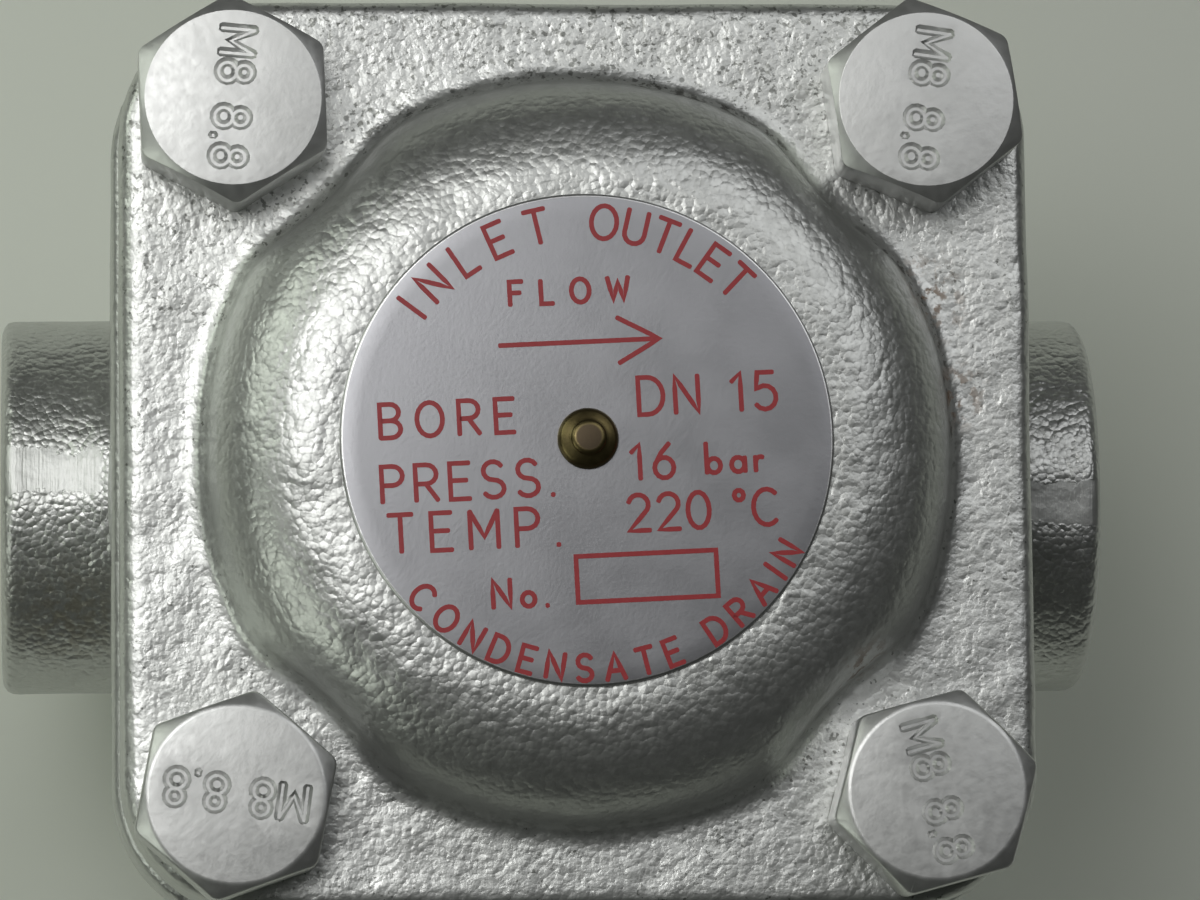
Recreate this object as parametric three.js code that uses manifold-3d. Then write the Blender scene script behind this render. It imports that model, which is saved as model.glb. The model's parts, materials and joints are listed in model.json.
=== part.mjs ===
// Thermodynamic (disc) steam trap, nominal bore 15, screwed ends.
// Millimetres, +Z up, ports along X (inlet at -X, outlet at +X).
// Origin: on the valve axis, at the flat underside of the strainer plug.
import * as THREE from 'three';
import { mergeVertices } from 'three/addons/utils/BufferGeometryUtils.js';
import Module from 'manifold-3d';

const wasm = await Module();
wasm.setup();

// ---- driving dimensions ----
const FACE_TO_FACE = 82;
const PORT_AXIS_Z = 38;
const PORT_R = 14.2;
const PORT_CHAMFER = 0.9;
const SOCKET_R = 9.3; // crests of the internal 1/2 inch taper thread
const SOCKET_MOUTH_R = 10.4;
const SOCKET_DEPTH = 15;

const FLANGE_TOP_Z = 75; // top face of the cover flange
const COVER_FLANGE_T = 9;
const COVER_GASKET_T = 1;
const BODY_FLANGE_T = 9.5;
const COVER_SIDE = 65;
const BODY_SIDE = 66;
const GASKET_SIDE = 64.4;
const CORNER_R = 10;

const BOLT_SPACING = 49;
const BOLT_R = 4; // M8
const BOLT_HOLE_R = 4.4;
const BOLT_LENGTH = 20;
const BOLT_HEAD_H = 5.3;
const BOLT_FLATS = 13;
const BOLT_FACE_R = 6.2;
const BOLT_TURNS_DEG = [-11, -15, 8, 2]; // how far each hexagon is turned from a corner at -Y

const DOME_H = 7.6;
const DOME_TOP_R = 18;
const DOME_BASE_R = 26.6;
const BOLT_RELIEF_R = 9.3; // spanner clearance round each bolt

const PLATE_R = 17.3;
const PLATE_T = 0.6;
const PIN_HEAD_R = 2.15;
const PIN_HEAD_H = 1.1;
const PIN_R = 1;
const PIN_HOLE_R = 1.3;
const PIN_DEPTH = 4.1;

const CAVITY_R = 17; // room for the valve in the cover
const AIR_POCKET_R = 9.5;
const AIR_POCKET_H = 1.4;

const RECESS_R = 15.4;
const RECESS_DEPTH = 4;
const SEAT_R = 15;
const SEAT_GASKET_T = 0.8;
const SEAT_RIM_H = 4.7;
const LAND_H = 2.5; // lands stand this far above the rim
const HUB_R = 10;
const OUTER_LAND_IN_R = 8.4;
const INNER_LAND_R = 4.4;
const INLET_HOLE_R = 2.8;
const GROOVE_DEPTH = 3;
const OUTLET_HOLE_R = 1.4;
const OUTLET_HOLE_PITCH_R = 6.4;
const OUTLET_HOLES = 4;

const DISC_R = 11.4;
const DISC_T = 2.2;
const DISC_REST_GAP = 0.05;
const DISC_LIFT = 0.8;
const DISC_ROOF_GAP = 0.3; // left above the disc at full lift
const RING_IN_R = 10.3;
const RING_OUT_R = 11.5;
const RING_H = 1.9;
const RING_SPLIT = 1.6;
const RING_TOP_GAP = 0.2;

const CAP_OUT_R = 15;
const CAP_WALL_R = 14.6;
const CAP_IN_R = 12.7;
const CAP_FOOT_H = 2;
const CAP_ROOF_T = 2;

const GALLERY_IN_R = 5.2;
const GALLERY_OUT_R = 9.8;
const GALLERY_DEPTH = 3.5;
const RISER_R = 3;
const INLET_DRILL_R = 4.5;
const OUTLET_DRILL_R = 3.5;

const CHAMBER_R = 12;
const CHAMBER_ROOF_Z = 30;
const BARREL_R = 17;
const PLUG_HEX_H = 8;
const PLUG_FLATS = 27;
const PLUG_COLLAR_T = 3;
const PLUG_COLLAR_R = 16;
const PLUG_GASKET_T = 1;
const PLUG_THREAD_R = 12.7;
const PLUG_THREAD_HOLE_R = 13;
const PLUG_THREAD_L = 8;
const SCREEN_OUT_R = 9.1;
const SCREEN_IN_R = 8.6;
const SCREEN_RING_OUT_R = 9.3;
const SCREEN_RING_IN_R = 8;
const SCREEN_RING_H = 1.5;
const SCREEN_POCKET_R = 9.6;
const SCREEN_FOOT_Z = 9.5;
const SCREEN_HOLE_R = 1.15;
const SCREEN_ROWS = 4;
const SCREEN_HOLES_ACROSS = 4; // each drills both walls

// ---- heights worked out from them ----
const coverBottomZ = FLANGE_TOP_Z - COVER_FLANGE_T;
const bodyTopZ = coverBottomZ - COVER_GASKET_T;
const bodyFlangeBottomZ = bodyTopZ - BODY_FLANGE_T;
const domeTopZ = FLANGE_TOP_Z + DOME_H;
const recessZ = bodyTopZ - RECESS_DEPTH;
const seatBottomZ = recessZ + SEAT_GASKET_T;
const seatRimZ = seatBottomZ + SEAT_RIM_H;
const landZ = seatRimZ + LAND_H;
const discBottomZ = landZ + DISC_REST_GAP;
const capRoofZ = discBottomZ + DISC_T + DISC_LIFT + DISC_ROOF_GAP;
const capTopZ = capRoofZ + CAP_ROOF_T;
const plugCollarZ = PLUG_HEX_H;
const plugGasketZ = plugCollarZ + PLUG_COLLAR_T;
const barrelBottomZ = plugGasketZ + PLUG_GASKET_T;
const threadTopZ = plugGasketZ + PLUG_THREAD_L;
const endX = FACE_TO_FACE / 2;
const socketX = endX - SOCKET_DEPTH;
const boltXY = BOLT_SPACING / 2;
const boltCorners = [[-1, -1], [1, -1], [1, 1], [-1, 1]];

const FINE = 40; // sides of the large round shapes
const ROUND = 28;
const SMALL = 20;
const TINY = 12;
const EXTRA = 1; // a cutter reaches this far past the face it cuts

// ---- shape helpers ----
function solid(geometry) {
  const plain = geometry.clone();
  plain.deleteAttribute('normal');
  plain.deleteAttribute('uv');
  const merged = mergeVertices(plain, 1e-5);
  const index = merged.index.array;
  const kept = [];
  for (let i = 0; i < index.length; i += 3) {
    const [a, b, c] = [index[i], index[i + 1], index[i + 2]];
    if (a !== b && b !== c && c !== a) kept.push(a, b, c);
  }
  const vertProperties = new Float32Array(merged.attributes.position.array);
  const triVerts = new Uint32Array(kept);
  const made = new wasm.Manifold(new wasm.Mesh({ numProp: 3, vertProperties, triVerts }));
  if (made.volume() > 0) return made;
  for (let i = 0; i < triVerts.length; i += 3) triVerts.subarray(i + 1, i + 3).reverse();
  return new wasm.Manifold(new wasm.Mesh({ numProp: 3, vertProperties, triVerts }));
}

function toGeometry(shape) {
  const mesh = shape.getMesh();
  const geometry = new THREE.BufferGeometry();
  geometry.setAttribute('position', new THREE.BufferAttribute(mesh.vertProperties, 3));
  geometry.setIndex(new THREE.BufferAttribute(mesh.triVerts, 1));
  geometry.computeVertexNormals();
  return geometry;
}

// A solid of revolution about Z; the profile is [radius, z] pairs.
function turned(profile, sides = ROUND, closed = false) {
  const points = profile.map(([r, z]) => new THREE.Vector2(r, z));
  if (closed) points.push(points[0].clone());
  return solid(new THREE.LatheGeometry(points, sides).rotateX(Math.PI / 2));
}

function rod(radius, lowZ, highZ, sides = ROUND, x = 0, y = 0) {
  const geometry = new THREE.CylinderGeometry(radius, radius, highZ - lowZ, sides);
  return solid(geometry.rotateX(Math.PI / 2).translate(x, y, (lowZ + highZ) / 2));
}

function tube(innerR, outerR, lowZ, highZ, sides = ROUND) {
  return turned([[innerR, lowZ], [outerR, lowZ], [outerR, highZ], [innerR, highZ]], sides, true);
}

// A round hole drilled from one point to another, in the plane of the ports.
function drilled(radius, [x0, z0], [x1, z1], sides = SMALL) {
  const along = new THREE.Vector3(x1 - x0, 0, z1 - z0);
  const geometry = new THREE.CylinderGeometry(radius, radius, along.length(), sides);
  const turn = new THREE.Quaternion().setFromUnitVectors(new THREE.Vector3(0, 1, 0), along.clone().normalize());
  return solid(geometry.applyQuaternion(turn).translate((x0 + x1) / 2, 0, (z0 + z1) / 2));
}

// A shape turned about X instead of Z, for the ports: profile is [radius, x] pairs.
function turnedAlongX(profile, sides = ROUND) {
  const points = profile.map(([r, x]) => new THREE.Vector2(r, x));
  const geometry = new THREE.LatheGeometry(points, sides).rotateZ(-Math.PI / 2);
  return solid(geometry.translate(0, 0, PORT_AXIS_Z));
}

function roundedSquare(side, cornerR, lowZ, highZ) {
  const half = side / 2;
  const inner = half - cornerR;
  const shape = new THREE.Shape();
  boltCorners.forEach(([sx, sy], i) => {
    const start = Math.PI + (i * Math.PI) / 2;
    shape.absarc(sx * inner, sy * inner, cornerR, start, start + Math.PI / 2, false);
  });
  const options = { depth: highZ - lowZ, bevelEnabled: false, curveSegments: 8 };
  return solid(new THREE.ExtrudeGeometry(shape, options).translate(0, 0, lowZ));
}

function hexagon(acrossFlats, lowZ, highZ, turnDeg = 0) {
  const cornerR = acrossFlats / 2 / Math.cos(Math.PI / 6);
  const geometry = new THREE.CylinderGeometry(cornerR, cornerR, highZ - lowZ, 6);
  geometry.rotateX(Math.PI / 2).rotateZ(THREE.MathUtils.degToRad(turnDeg));
  return solid(geometry.translate(0, 0, (lowZ + highZ) / 2));
}

function withoutBoltHoles(shape, lowZ, highZ) {
  return boltCorners.reduce(
    (left, [sx, sy]) => left.subtract(rod(BOLT_HOLE_R, lowZ - EXTRA, highZ + EXTRA, SMALL, sx * boltXY, sy * boltXY)),
    shape,
  );
}

// ---- pieces ----
function makeBody() {
  const flange = roundedSquare(BODY_SIDE, CORNER_R + 0.5, bodyFlangeBottomZ, bodyTopZ);
  const core = turned([
    [0, barrelBottomZ], [BARREL_R, barrelBottomZ], [BARREL_R, PORT_AXIS_Z - 10],
    [19, PORT_AXIS_Z + 6], [22, bodyFlangeBottomZ - 4], [26, bodyFlangeBottomZ],
    [26, bodyFlangeBottomZ + 2], [0, bodyFlangeBottomZ + 2],
  ], FINE);
  const ports = turnedAlongX([
    [0, -endX], [PORT_R - PORT_CHAMFER, -endX], [PORT_R, -endX + PORT_CHAMFER],
    [PORT_R, endX - PORT_CHAMFER], [PORT_R - PORT_CHAMFER, endX], [0, endX],
  ], FINE);
  let body = withoutBoltHoles(flange.add(core).add(ports), bodyFlangeBottomZ, bodyTopZ);

  for (const side of [-1, 1]) {
    body = body.subtract(turnedAlongX([
      [0, side * socketX], [SOCKET_R, side * socketX], [SOCKET_R, side * (endX - 1.2)],
      [SOCKET_MOUTH_R, side * endX], [SOCKET_MOUTH_R, side * (endX + EXTRA)], [0, side * (endX + EXTRA)],
    ]));
  }
  const cutters = [
    rod(RECESS_R, recessZ, bodyTopZ + EXTRA, FINE),
    tube(GALLERY_IN_R, GALLERY_OUT_R, recessZ - GALLERY_DEPTH, recessZ + EXTRA),
    rod(RISER_R, CHAMBER_ROOF_Z - EXTRA, recessZ + EXTRA, SMALL),
    rod(CHAMBER_R, barrelBottomZ, CHAMBER_ROOF_Z),
    rod(PLUG_THREAD_HOLE_R, barrelBottomZ - EXTRA, threadTopZ + EXTRA),
    drilled(INLET_DRILL_R, [-socketX - 2, PORT_AXIS_Z + 0.5], [-CHAMBER_R + 3, CHAMBER_ROOF_Z - 4]),
    drilled(OUTLET_DRILL_R, [7.5, recessZ - 2.5], [socketX + 2, PORT_AXIS_Z + 3]),
  ];
  return cutters.reduce((left, cutter) => left.subtract(cutter), body);
}

function makeCover() {
  const flange = roundedSquare(COVER_SIDE, CORNER_R, coverBottomZ, FLANGE_TOP_Z);
  const shoulder = [];
  const steps = 7;
  for (let i = 0; i <= steps; i += 1) {
    const angle = (i / steps) * (Math.PI / 2);
    const r = DOME_TOP_R + (DOME_BASE_R - DOME_TOP_R) * Math.sin(angle);
    shoulder.unshift([r, FLANGE_TOP_Z + DOME_H * Math.cos(angle)]);
  }
  let dome = turned([[0, FLANGE_TOP_Z - 2], [DOME_BASE_R, FLANGE_TOP_Z - 2], ...shoulder, [0, domeTopZ]], FINE);
  for (const [sx, sy] of boltCorners) {
    const relief = rod(BOLT_RELIEF_R, FLANGE_TOP_Z, domeTopZ + EXTRA, ROUND, sx * boltXY, sy * boltXY);
    dome = dome.subtract(relief);
  }
  const cover = withoutBoltHoles(flange.add(dome), coverBottomZ, FLANGE_TOP_Z);
  return cover
    .subtract(rod(CAVITY_R, coverBottomZ - EXTRA, capTopZ, FINE))
    .subtract(rod(AIR_POCKET_R, capTopZ - EXTRA, capTopZ + AIR_POCKET_H))
    .subtract(rod(PIN_HOLE_R, domeTopZ - PIN_DEPTH - 0.3, domeTopZ + EXTRA, TINY));
}

function makeCoverGasket() {
  const sheet = roundedSquare(GASKET_SIDE, CORNER_R, bodyTopZ, coverBottomZ);
  const open = sheet.subtract(rod(CAVITY_R, bodyTopZ - EXTRA, coverBottomZ + EXTRA, FINE));
  return withoutBoltHoles(open, bodyTopZ, coverBottomZ);
}

// A hexagon bolt with the flat of its head's underside at z = 0.
function makeBolt(turnDeg) {
  const cornerR = BOLT_FLATS / 2 / Math.cos(Math.PI / 6);
  const chamfer = (cornerR - BOLT_FACE_R) * Math.tan(Math.PI / 6);
  const envelope = turned([
    [0, 0], [cornerR, 0], [cornerR, BOLT_HEAD_H - chamfer], [BOLT_FACE_R, BOLT_HEAD_H], [0, BOLT_HEAD_H],
  ]);
  const head = hexagon(BOLT_FLATS, 0, BOLT_HEAD_H, turnDeg).intersect(envelope);
  const shank = turned([
    [0, -BOLT_LENGTH], [BOLT_R - 1, -BOLT_LENGTH], [BOLT_R, 1 - BOLT_LENGTH], [BOLT_R, 1], [0, 1],
  ], SMALL);
  return head.add(shank);
}

function makeNameplate() {
  return tube(PIN_HOLE_R, PLATE_R, domeTopZ, domeTopZ + PLATE_T, FINE);
}

function makeNameplatePin() {
  const headZ = domeTopZ + PLATE_T;
  const crown = [0, 30, 60, 90].map((deg) => {
    const angle = THREE.MathUtils.degToRad(deg);
    return [PIN_HEAD_R * Math.cos(angle), headZ + PIN_HEAD_H * Math.sin(angle)];
  });
  crown[3][0] = 0;
  return turned([[0, domeTopZ - PIN_DEPTH], [PIN_R, domeTopZ - PIN_DEPTH], [PIN_R, headZ], ...crown], TINY);
}

function makeValveSeat() {
  const grooveZ = landZ - GROOVE_DEPTH;
  let seat = turned([
    [INLET_HOLE_R, seatBottomZ], [SEAT_R, seatBottomZ], [SEAT_R, seatRimZ], [HUB_R, seatRimZ],
    [HUB_R, landZ], [OUTER_LAND_IN_R, landZ], [OUTER_LAND_IN_R, grooveZ],
    [INNER_LAND_R, grooveZ], [INNER_LAND_R, landZ], [INLET_HOLE_R, landZ],
  ], ROUND, true);
  for (let i = 0; i < OUTLET_HOLES; i += 1) {
    const angle = ((i + 0.5) / OUTLET_HOLES) * Math.PI * 2;
    const [x, y] = [OUTLET_HOLE_PITCH_R * Math.cos(angle), OUTLET_HOLE_PITCH_R * Math.sin(angle)];
    seat = seat.subtract(rod(OUTLET_HOLE_R, seatBottomZ - EXTRA, grooveZ + EXTRA, TINY, x, y));
  }
  return seat;
}

function makeValveDisc() {
  const top = discBottomZ + DISC_T;
  const edge = 0.4;
  return turned([
    [0, discBottomZ], [DISC_R - edge, discBottomZ], [DISC_R, discBottomZ + edge],
    [DISC_R, top - edge], [DISC_R - edge, top], [DISC_R - 3, top], [DISC_R - 3.4, top - 0.3],
    [DISC_R - 5, top - 0.3], [DISC_R - 5.4, top], [0, top],
  ]);
}

function makeBimetalRing() {
  const top = discBottomZ - RING_TOP_GAP;
  const gap = new THREE.BoxGeometry(RING_OUT_R * 2, RING_SPLIT, RING_H * 3).translate(RING_OUT_R + 2, 0, top);
  return tube(RING_IN_R, RING_OUT_R, top - RING_H, top).subtract(solid(gap));
}

function makeInnerCap() {
  return turned([
    [CAP_IN_R, seatRimZ], [CAP_OUT_R, seatRimZ], [CAP_OUT_R, seatRimZ + CAP_FOOT_H],
    [CAP_WALL_R, seatRimZ + CAP_FOOT_H], [CAP_WALL_R, capTopZ - 0.8], [CAP_WALL_R - 0.8, capTopZ],
    [0, capTopZ], [0, capRoofZ], [CAP_IN_R, capRoofZ], [CAP_IN_R, seatRimZ],
  ]);
}

function makeStrainerScreen() {
  const [low, high] = [SCREEN_FOOT_Z + SCREEN_RING_H, CHAMBER_ROOF_Z - SCREEN_RING_H];
  let screen = tube(SCREEN_IN_R, SCREEN_OUT_R, low, high);
  for (let row = 0; row < SCREEN_ROWS; row += 1) {
    const z = low + ((row + 0.5) / SCREEN_ROWS) * (high - low);
    for (let i = 0; i < SCREEN_HOLES_ACROSS; i += 1) {
      const angle = ((i + (row % 2) / 2) / SCREEN_HOLES_ACROSS) * Math.PI;
      const bar = new THREE.CylinderGeometry(SCREEN_HOLE_R, SCREEN_HOLE_R, SCREEN_OUT_R * 2 + 2, 6);
      screen = screen.subtract(solid(bar.rotateZ(Math.PI / 2).rotateZ(angle).translate(0, 0, z)));
    }
  }
  return screen;
}

function makeScreenRing(lowZ) {
  return tube(SCREEN_RING_IN_R, SCREEN_RING_OUT_R, lowZ, lowZ + SCREEN_RING_H);
}

function makeStrainerPlug() {
  const cornerR = PLUG_FLATS / 2 / Math.cos(Math.PI / 6);
  const faceR = PLUG_FLATS / 2 - 0.4;
  const chamfer = (cornerR - faceR) * Math.tan(Math.PI / 6);
  const envelope = turned([
    [0, 0], [faceR, 0], [cornerR, chamfer], [cornerR, plugCollarZ + EXTRA], [0, plugCollarZ + EXTRA],
  ]);
  const head = hexagon(PLUG_FLATS, 0, plugCollarZ + EXTRA).intersect(envelope);
  const stem = turned([
    [0, plugCollarZ], [PLUG_COLLAR_R, plugCollarZ], [PLUG_COLLAR_R, plugGasketZ],
    [PLUG_THREAD_R, plugGasketZ], [PLUG_THREAD_R, threadTopZ], [0, threadTopZ],
  ], ROUND);
  return head.add(stem).subtract(rod(SCREEN_POCKET_R, SCREEN_FOOT_Z, threadTopZ + EXTRA));
}

// ---- materials ----
function material(color, roughness, metalness) {
  return new THREE.MeshStandardMaterial({ color, roughness, metalness });
}

const paint = () => material(0xc4c6c2, 0.5, 0.85);
const stainless = () => material(0xb4b6b8, 0.32, 1);
const gasketSheet = () => material(0x4a443c, 0.85, 0);

// ---- assembly ----
const trap = new THREE.Group();

function place(name, shape, finish, x = 0, y = 0, z = 0) {
  const mesh = new THREE.Mesh(toGeometry(shape), finish);
  mesh.name = name;
  mesh.position.set(x, y, z);
  trap.add(mesh);
}

place('body', makeBody(), paint());
place('cover', makeCover(), paint());
place('cover_gasket', makeCoverGasket(), gasketSheet());
boltCorners.forEach(([sx, sy], i) => {
  const bolt = makeBolt(BOLT_TURNS_DEG[i]);
  place(`cover_bolt_${i + 1}`, bolt, paint(), sx * boltXY, sy * boltXY, FLANGE_TOP_Z);
});
place('nameplate', makeNameplate(), material(0xb9bbbe, 0.4, 1));
place('nameplate_pin', makeNameplatePin(), material(0xb8955a, 0.25, 1));
place('inner_cap', makeInnerCap(), stainless());
place('valve_disc', makeValveDisc(), stainless());
place('bimetal_ring', makeBimetalRing(), material(0x8f8678, 0.4, 1));
place('valve_seat', makeValveSeat(), stainless());
place('seat_gasket_inner', tube(3.3, 4.9, recessZ, seatBottomZ), gasketSheet());
place('seat_gasket_outer', tube(10.2, 14.8, recessZ, seatBottomZ), gasketSheet());
place('strainer_screen', makeStrainerScreen(), stainless());
place('screen_top_ring', makeScreenRing(CHAMBER_ROOF_Z - SCREEN_RING_H), stainless());
place('screen_bottom_ring', makeScreenRing(SCREEN_FOOT_Z), stainless());
place('strainer_plug', makeStrainerPlug(), paint());
place('plug_gasket', tube(13.1, PLUG_COLLAR_R, plugGasketZ, barrelBottomZ), material(0xa8694a, 0.5, 1));

export default trap;
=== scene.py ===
"""Looks of the disc steam trap: castings, bolts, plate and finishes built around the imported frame.

Shapes are worked out in millimetres in the frame's own axes and handed to Blender in metres.
"""

import json
import math

import bmesh
import bpy
import numpy as np
import openvdb
from mathutils import Matrix, Vector


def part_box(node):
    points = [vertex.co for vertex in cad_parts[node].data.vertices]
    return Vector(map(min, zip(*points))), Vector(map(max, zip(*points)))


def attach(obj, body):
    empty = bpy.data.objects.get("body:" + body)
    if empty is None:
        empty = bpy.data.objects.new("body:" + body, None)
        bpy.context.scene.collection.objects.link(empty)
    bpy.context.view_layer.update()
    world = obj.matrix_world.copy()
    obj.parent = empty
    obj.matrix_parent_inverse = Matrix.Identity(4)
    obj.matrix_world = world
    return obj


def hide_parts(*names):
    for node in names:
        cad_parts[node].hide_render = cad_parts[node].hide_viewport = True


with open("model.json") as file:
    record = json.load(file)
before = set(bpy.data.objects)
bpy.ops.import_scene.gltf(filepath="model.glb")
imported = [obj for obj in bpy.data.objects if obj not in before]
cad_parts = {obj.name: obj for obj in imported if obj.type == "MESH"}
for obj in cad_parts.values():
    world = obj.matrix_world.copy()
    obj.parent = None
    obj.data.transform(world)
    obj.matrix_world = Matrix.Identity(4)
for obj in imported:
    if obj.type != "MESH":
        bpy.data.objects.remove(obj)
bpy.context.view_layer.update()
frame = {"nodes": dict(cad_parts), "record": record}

MM = 0.001
BODY = "housing"


def span(node):
    """Lowest and highest corner of a CAD node, in millimetres."""
    low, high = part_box(node)
    return np.array(low) / MM, np.array(high) / MM


# ---- sizes read from the frame, mm ----
body_low, body_high = span("body")
cover_low, cover_high = span("cover")
plate_low, plate_high = span("nameplate")
pin_low, pin_high = span("nameplate_pin")
plug_low, plug_high = span("strainer_plug")
washer_low, washer_high = span("plug_gasket")
seat_bottom = span("valve_seat")[0][2]
cap_top = span("inner_cap")[1][2]
chamber_roof = span("screen_top_ring")[1][2]
screen_foot = span("screen_bottom_ring")[0][2]
bolts = [span(f"cover_bolt_{i + 1}") for i in range(4)]
sockets = [o for o in frame["record"]["physics"]["openings"] if "socket" in o["name"]]

HEAD_HEIGHT = 5.3
flange_top = bolts[0][1][2] - HEAD_HEIGHT
dome_top = cover_high[2]
port_axis = (sockets[0]["box_m"][0][2] + sockets[0]["box_m"][1][2]) / 2 / MM
port_end = body_high[0]
bolt_centres = [((low + high) / 2)[:2] for low, high in bolts]

# ---- sizes of the finer shapes, mm ----
CORNER_R = 10.0  # of the cover flange, seen from above
FLANGE_EDGE_R = 1.3
DOME_TOP_R = 18.0
DOME_BASE_R = 26.6
DOME_FILLET = 1.5
BOLT_RELIEF_R = 9.3
RELIEF_FILLET = 3.0
CAVITY_R = 17.0
CAP_POCKET_R = 9.5
PIN_HOLE_R = 1.3
BOLT_HOLE_R = 4.3

BODY_FLANGE_HEIGHT = 9.5
BODY_EDGE_R = 1.0
BARREL_R = 17.0
BARREL_EDGE = 0.6
PORT_R = 14.2
PORT_EDGE_R = 1.1
GROUND_OFFSET = 1.2  # of the ground bands from the ports' crowns
SEAT_RECESS_R = 15.4
GALLERY_OUT_R = 9.8
GALLERY_IN_R = 5.2
GALLERY_DEPTH = 3.5
RISER_R = 3.0
CHAMBER_R = 12.0
PLUG_BORE_R = 13.0
INLET_DRILL_R = 4.5
OUTLET_DRILL_R = 3.5
ARROW_LENGTH = 20.0
ARROW_HEIGHT = 8.0

SOCKET_CREST_R = 9.3
SOCKET_DEPTH = 15.0
THREAD_PITCH = 1.814
THREAD_DEPTH = 1.1
THREAD_START = 0.7  # of the first turn, inside the port's face
THREAD_RUNOUT = 2.5

CHAMFER_SLOPE = math.tan(math.radians(30))  # of the corners of hexagons
BOLT_FLATS = 13.0
BOLT_FACE_R = 6.2
BOLT_SHANK_R = 4.0
BOLT_TURNS = (-11, -15, 8, 2)  # of each head, degrees
MARK_TURNS = (172, -75, -98, -95)  # of the mark on each head, degrees
MARK_HEIGHT = 2.35
MARK_GAP = 0.65
MARK_HALF = 0.39  # half the width of a stroke at the surface
MARK_FLOOR_HALF = 0.10  # and at its floor
MARK_DEPTH = 0.28

PLUG_FLATS = 27.0
PLUG_FACE_R = PLUG_FLATS / 2 - 0.4
PLUG_COLLAR_R = 16.0
PLUG_COLLAR_HEIGHT = 3.0
PLUG_STEM_R = 12.0
PLUG_CREST_R = 12.7
PLUG_ROOT_R = 11.9
PLUG_HOLLOW_R = 9.6
PLUG_PITCH = 1.5
WASHER_IN_R = 13.1

PLATE_EDGE_R = 0.22
PLATE_CROWN = 0.25  # how far the plate bulges at its pin
PLATE_HOLE_R = 1.3
PLATE_TURN = 2.6  # of the print, degrees
RED_STROKE = 0.17  # half the width of a printed stroke
INK_THICKNESS = 0.02
PIN_RING_R = 2.15
PIN_SHANK_R = 1.0

rng = np.random.default_rng(15)


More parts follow.
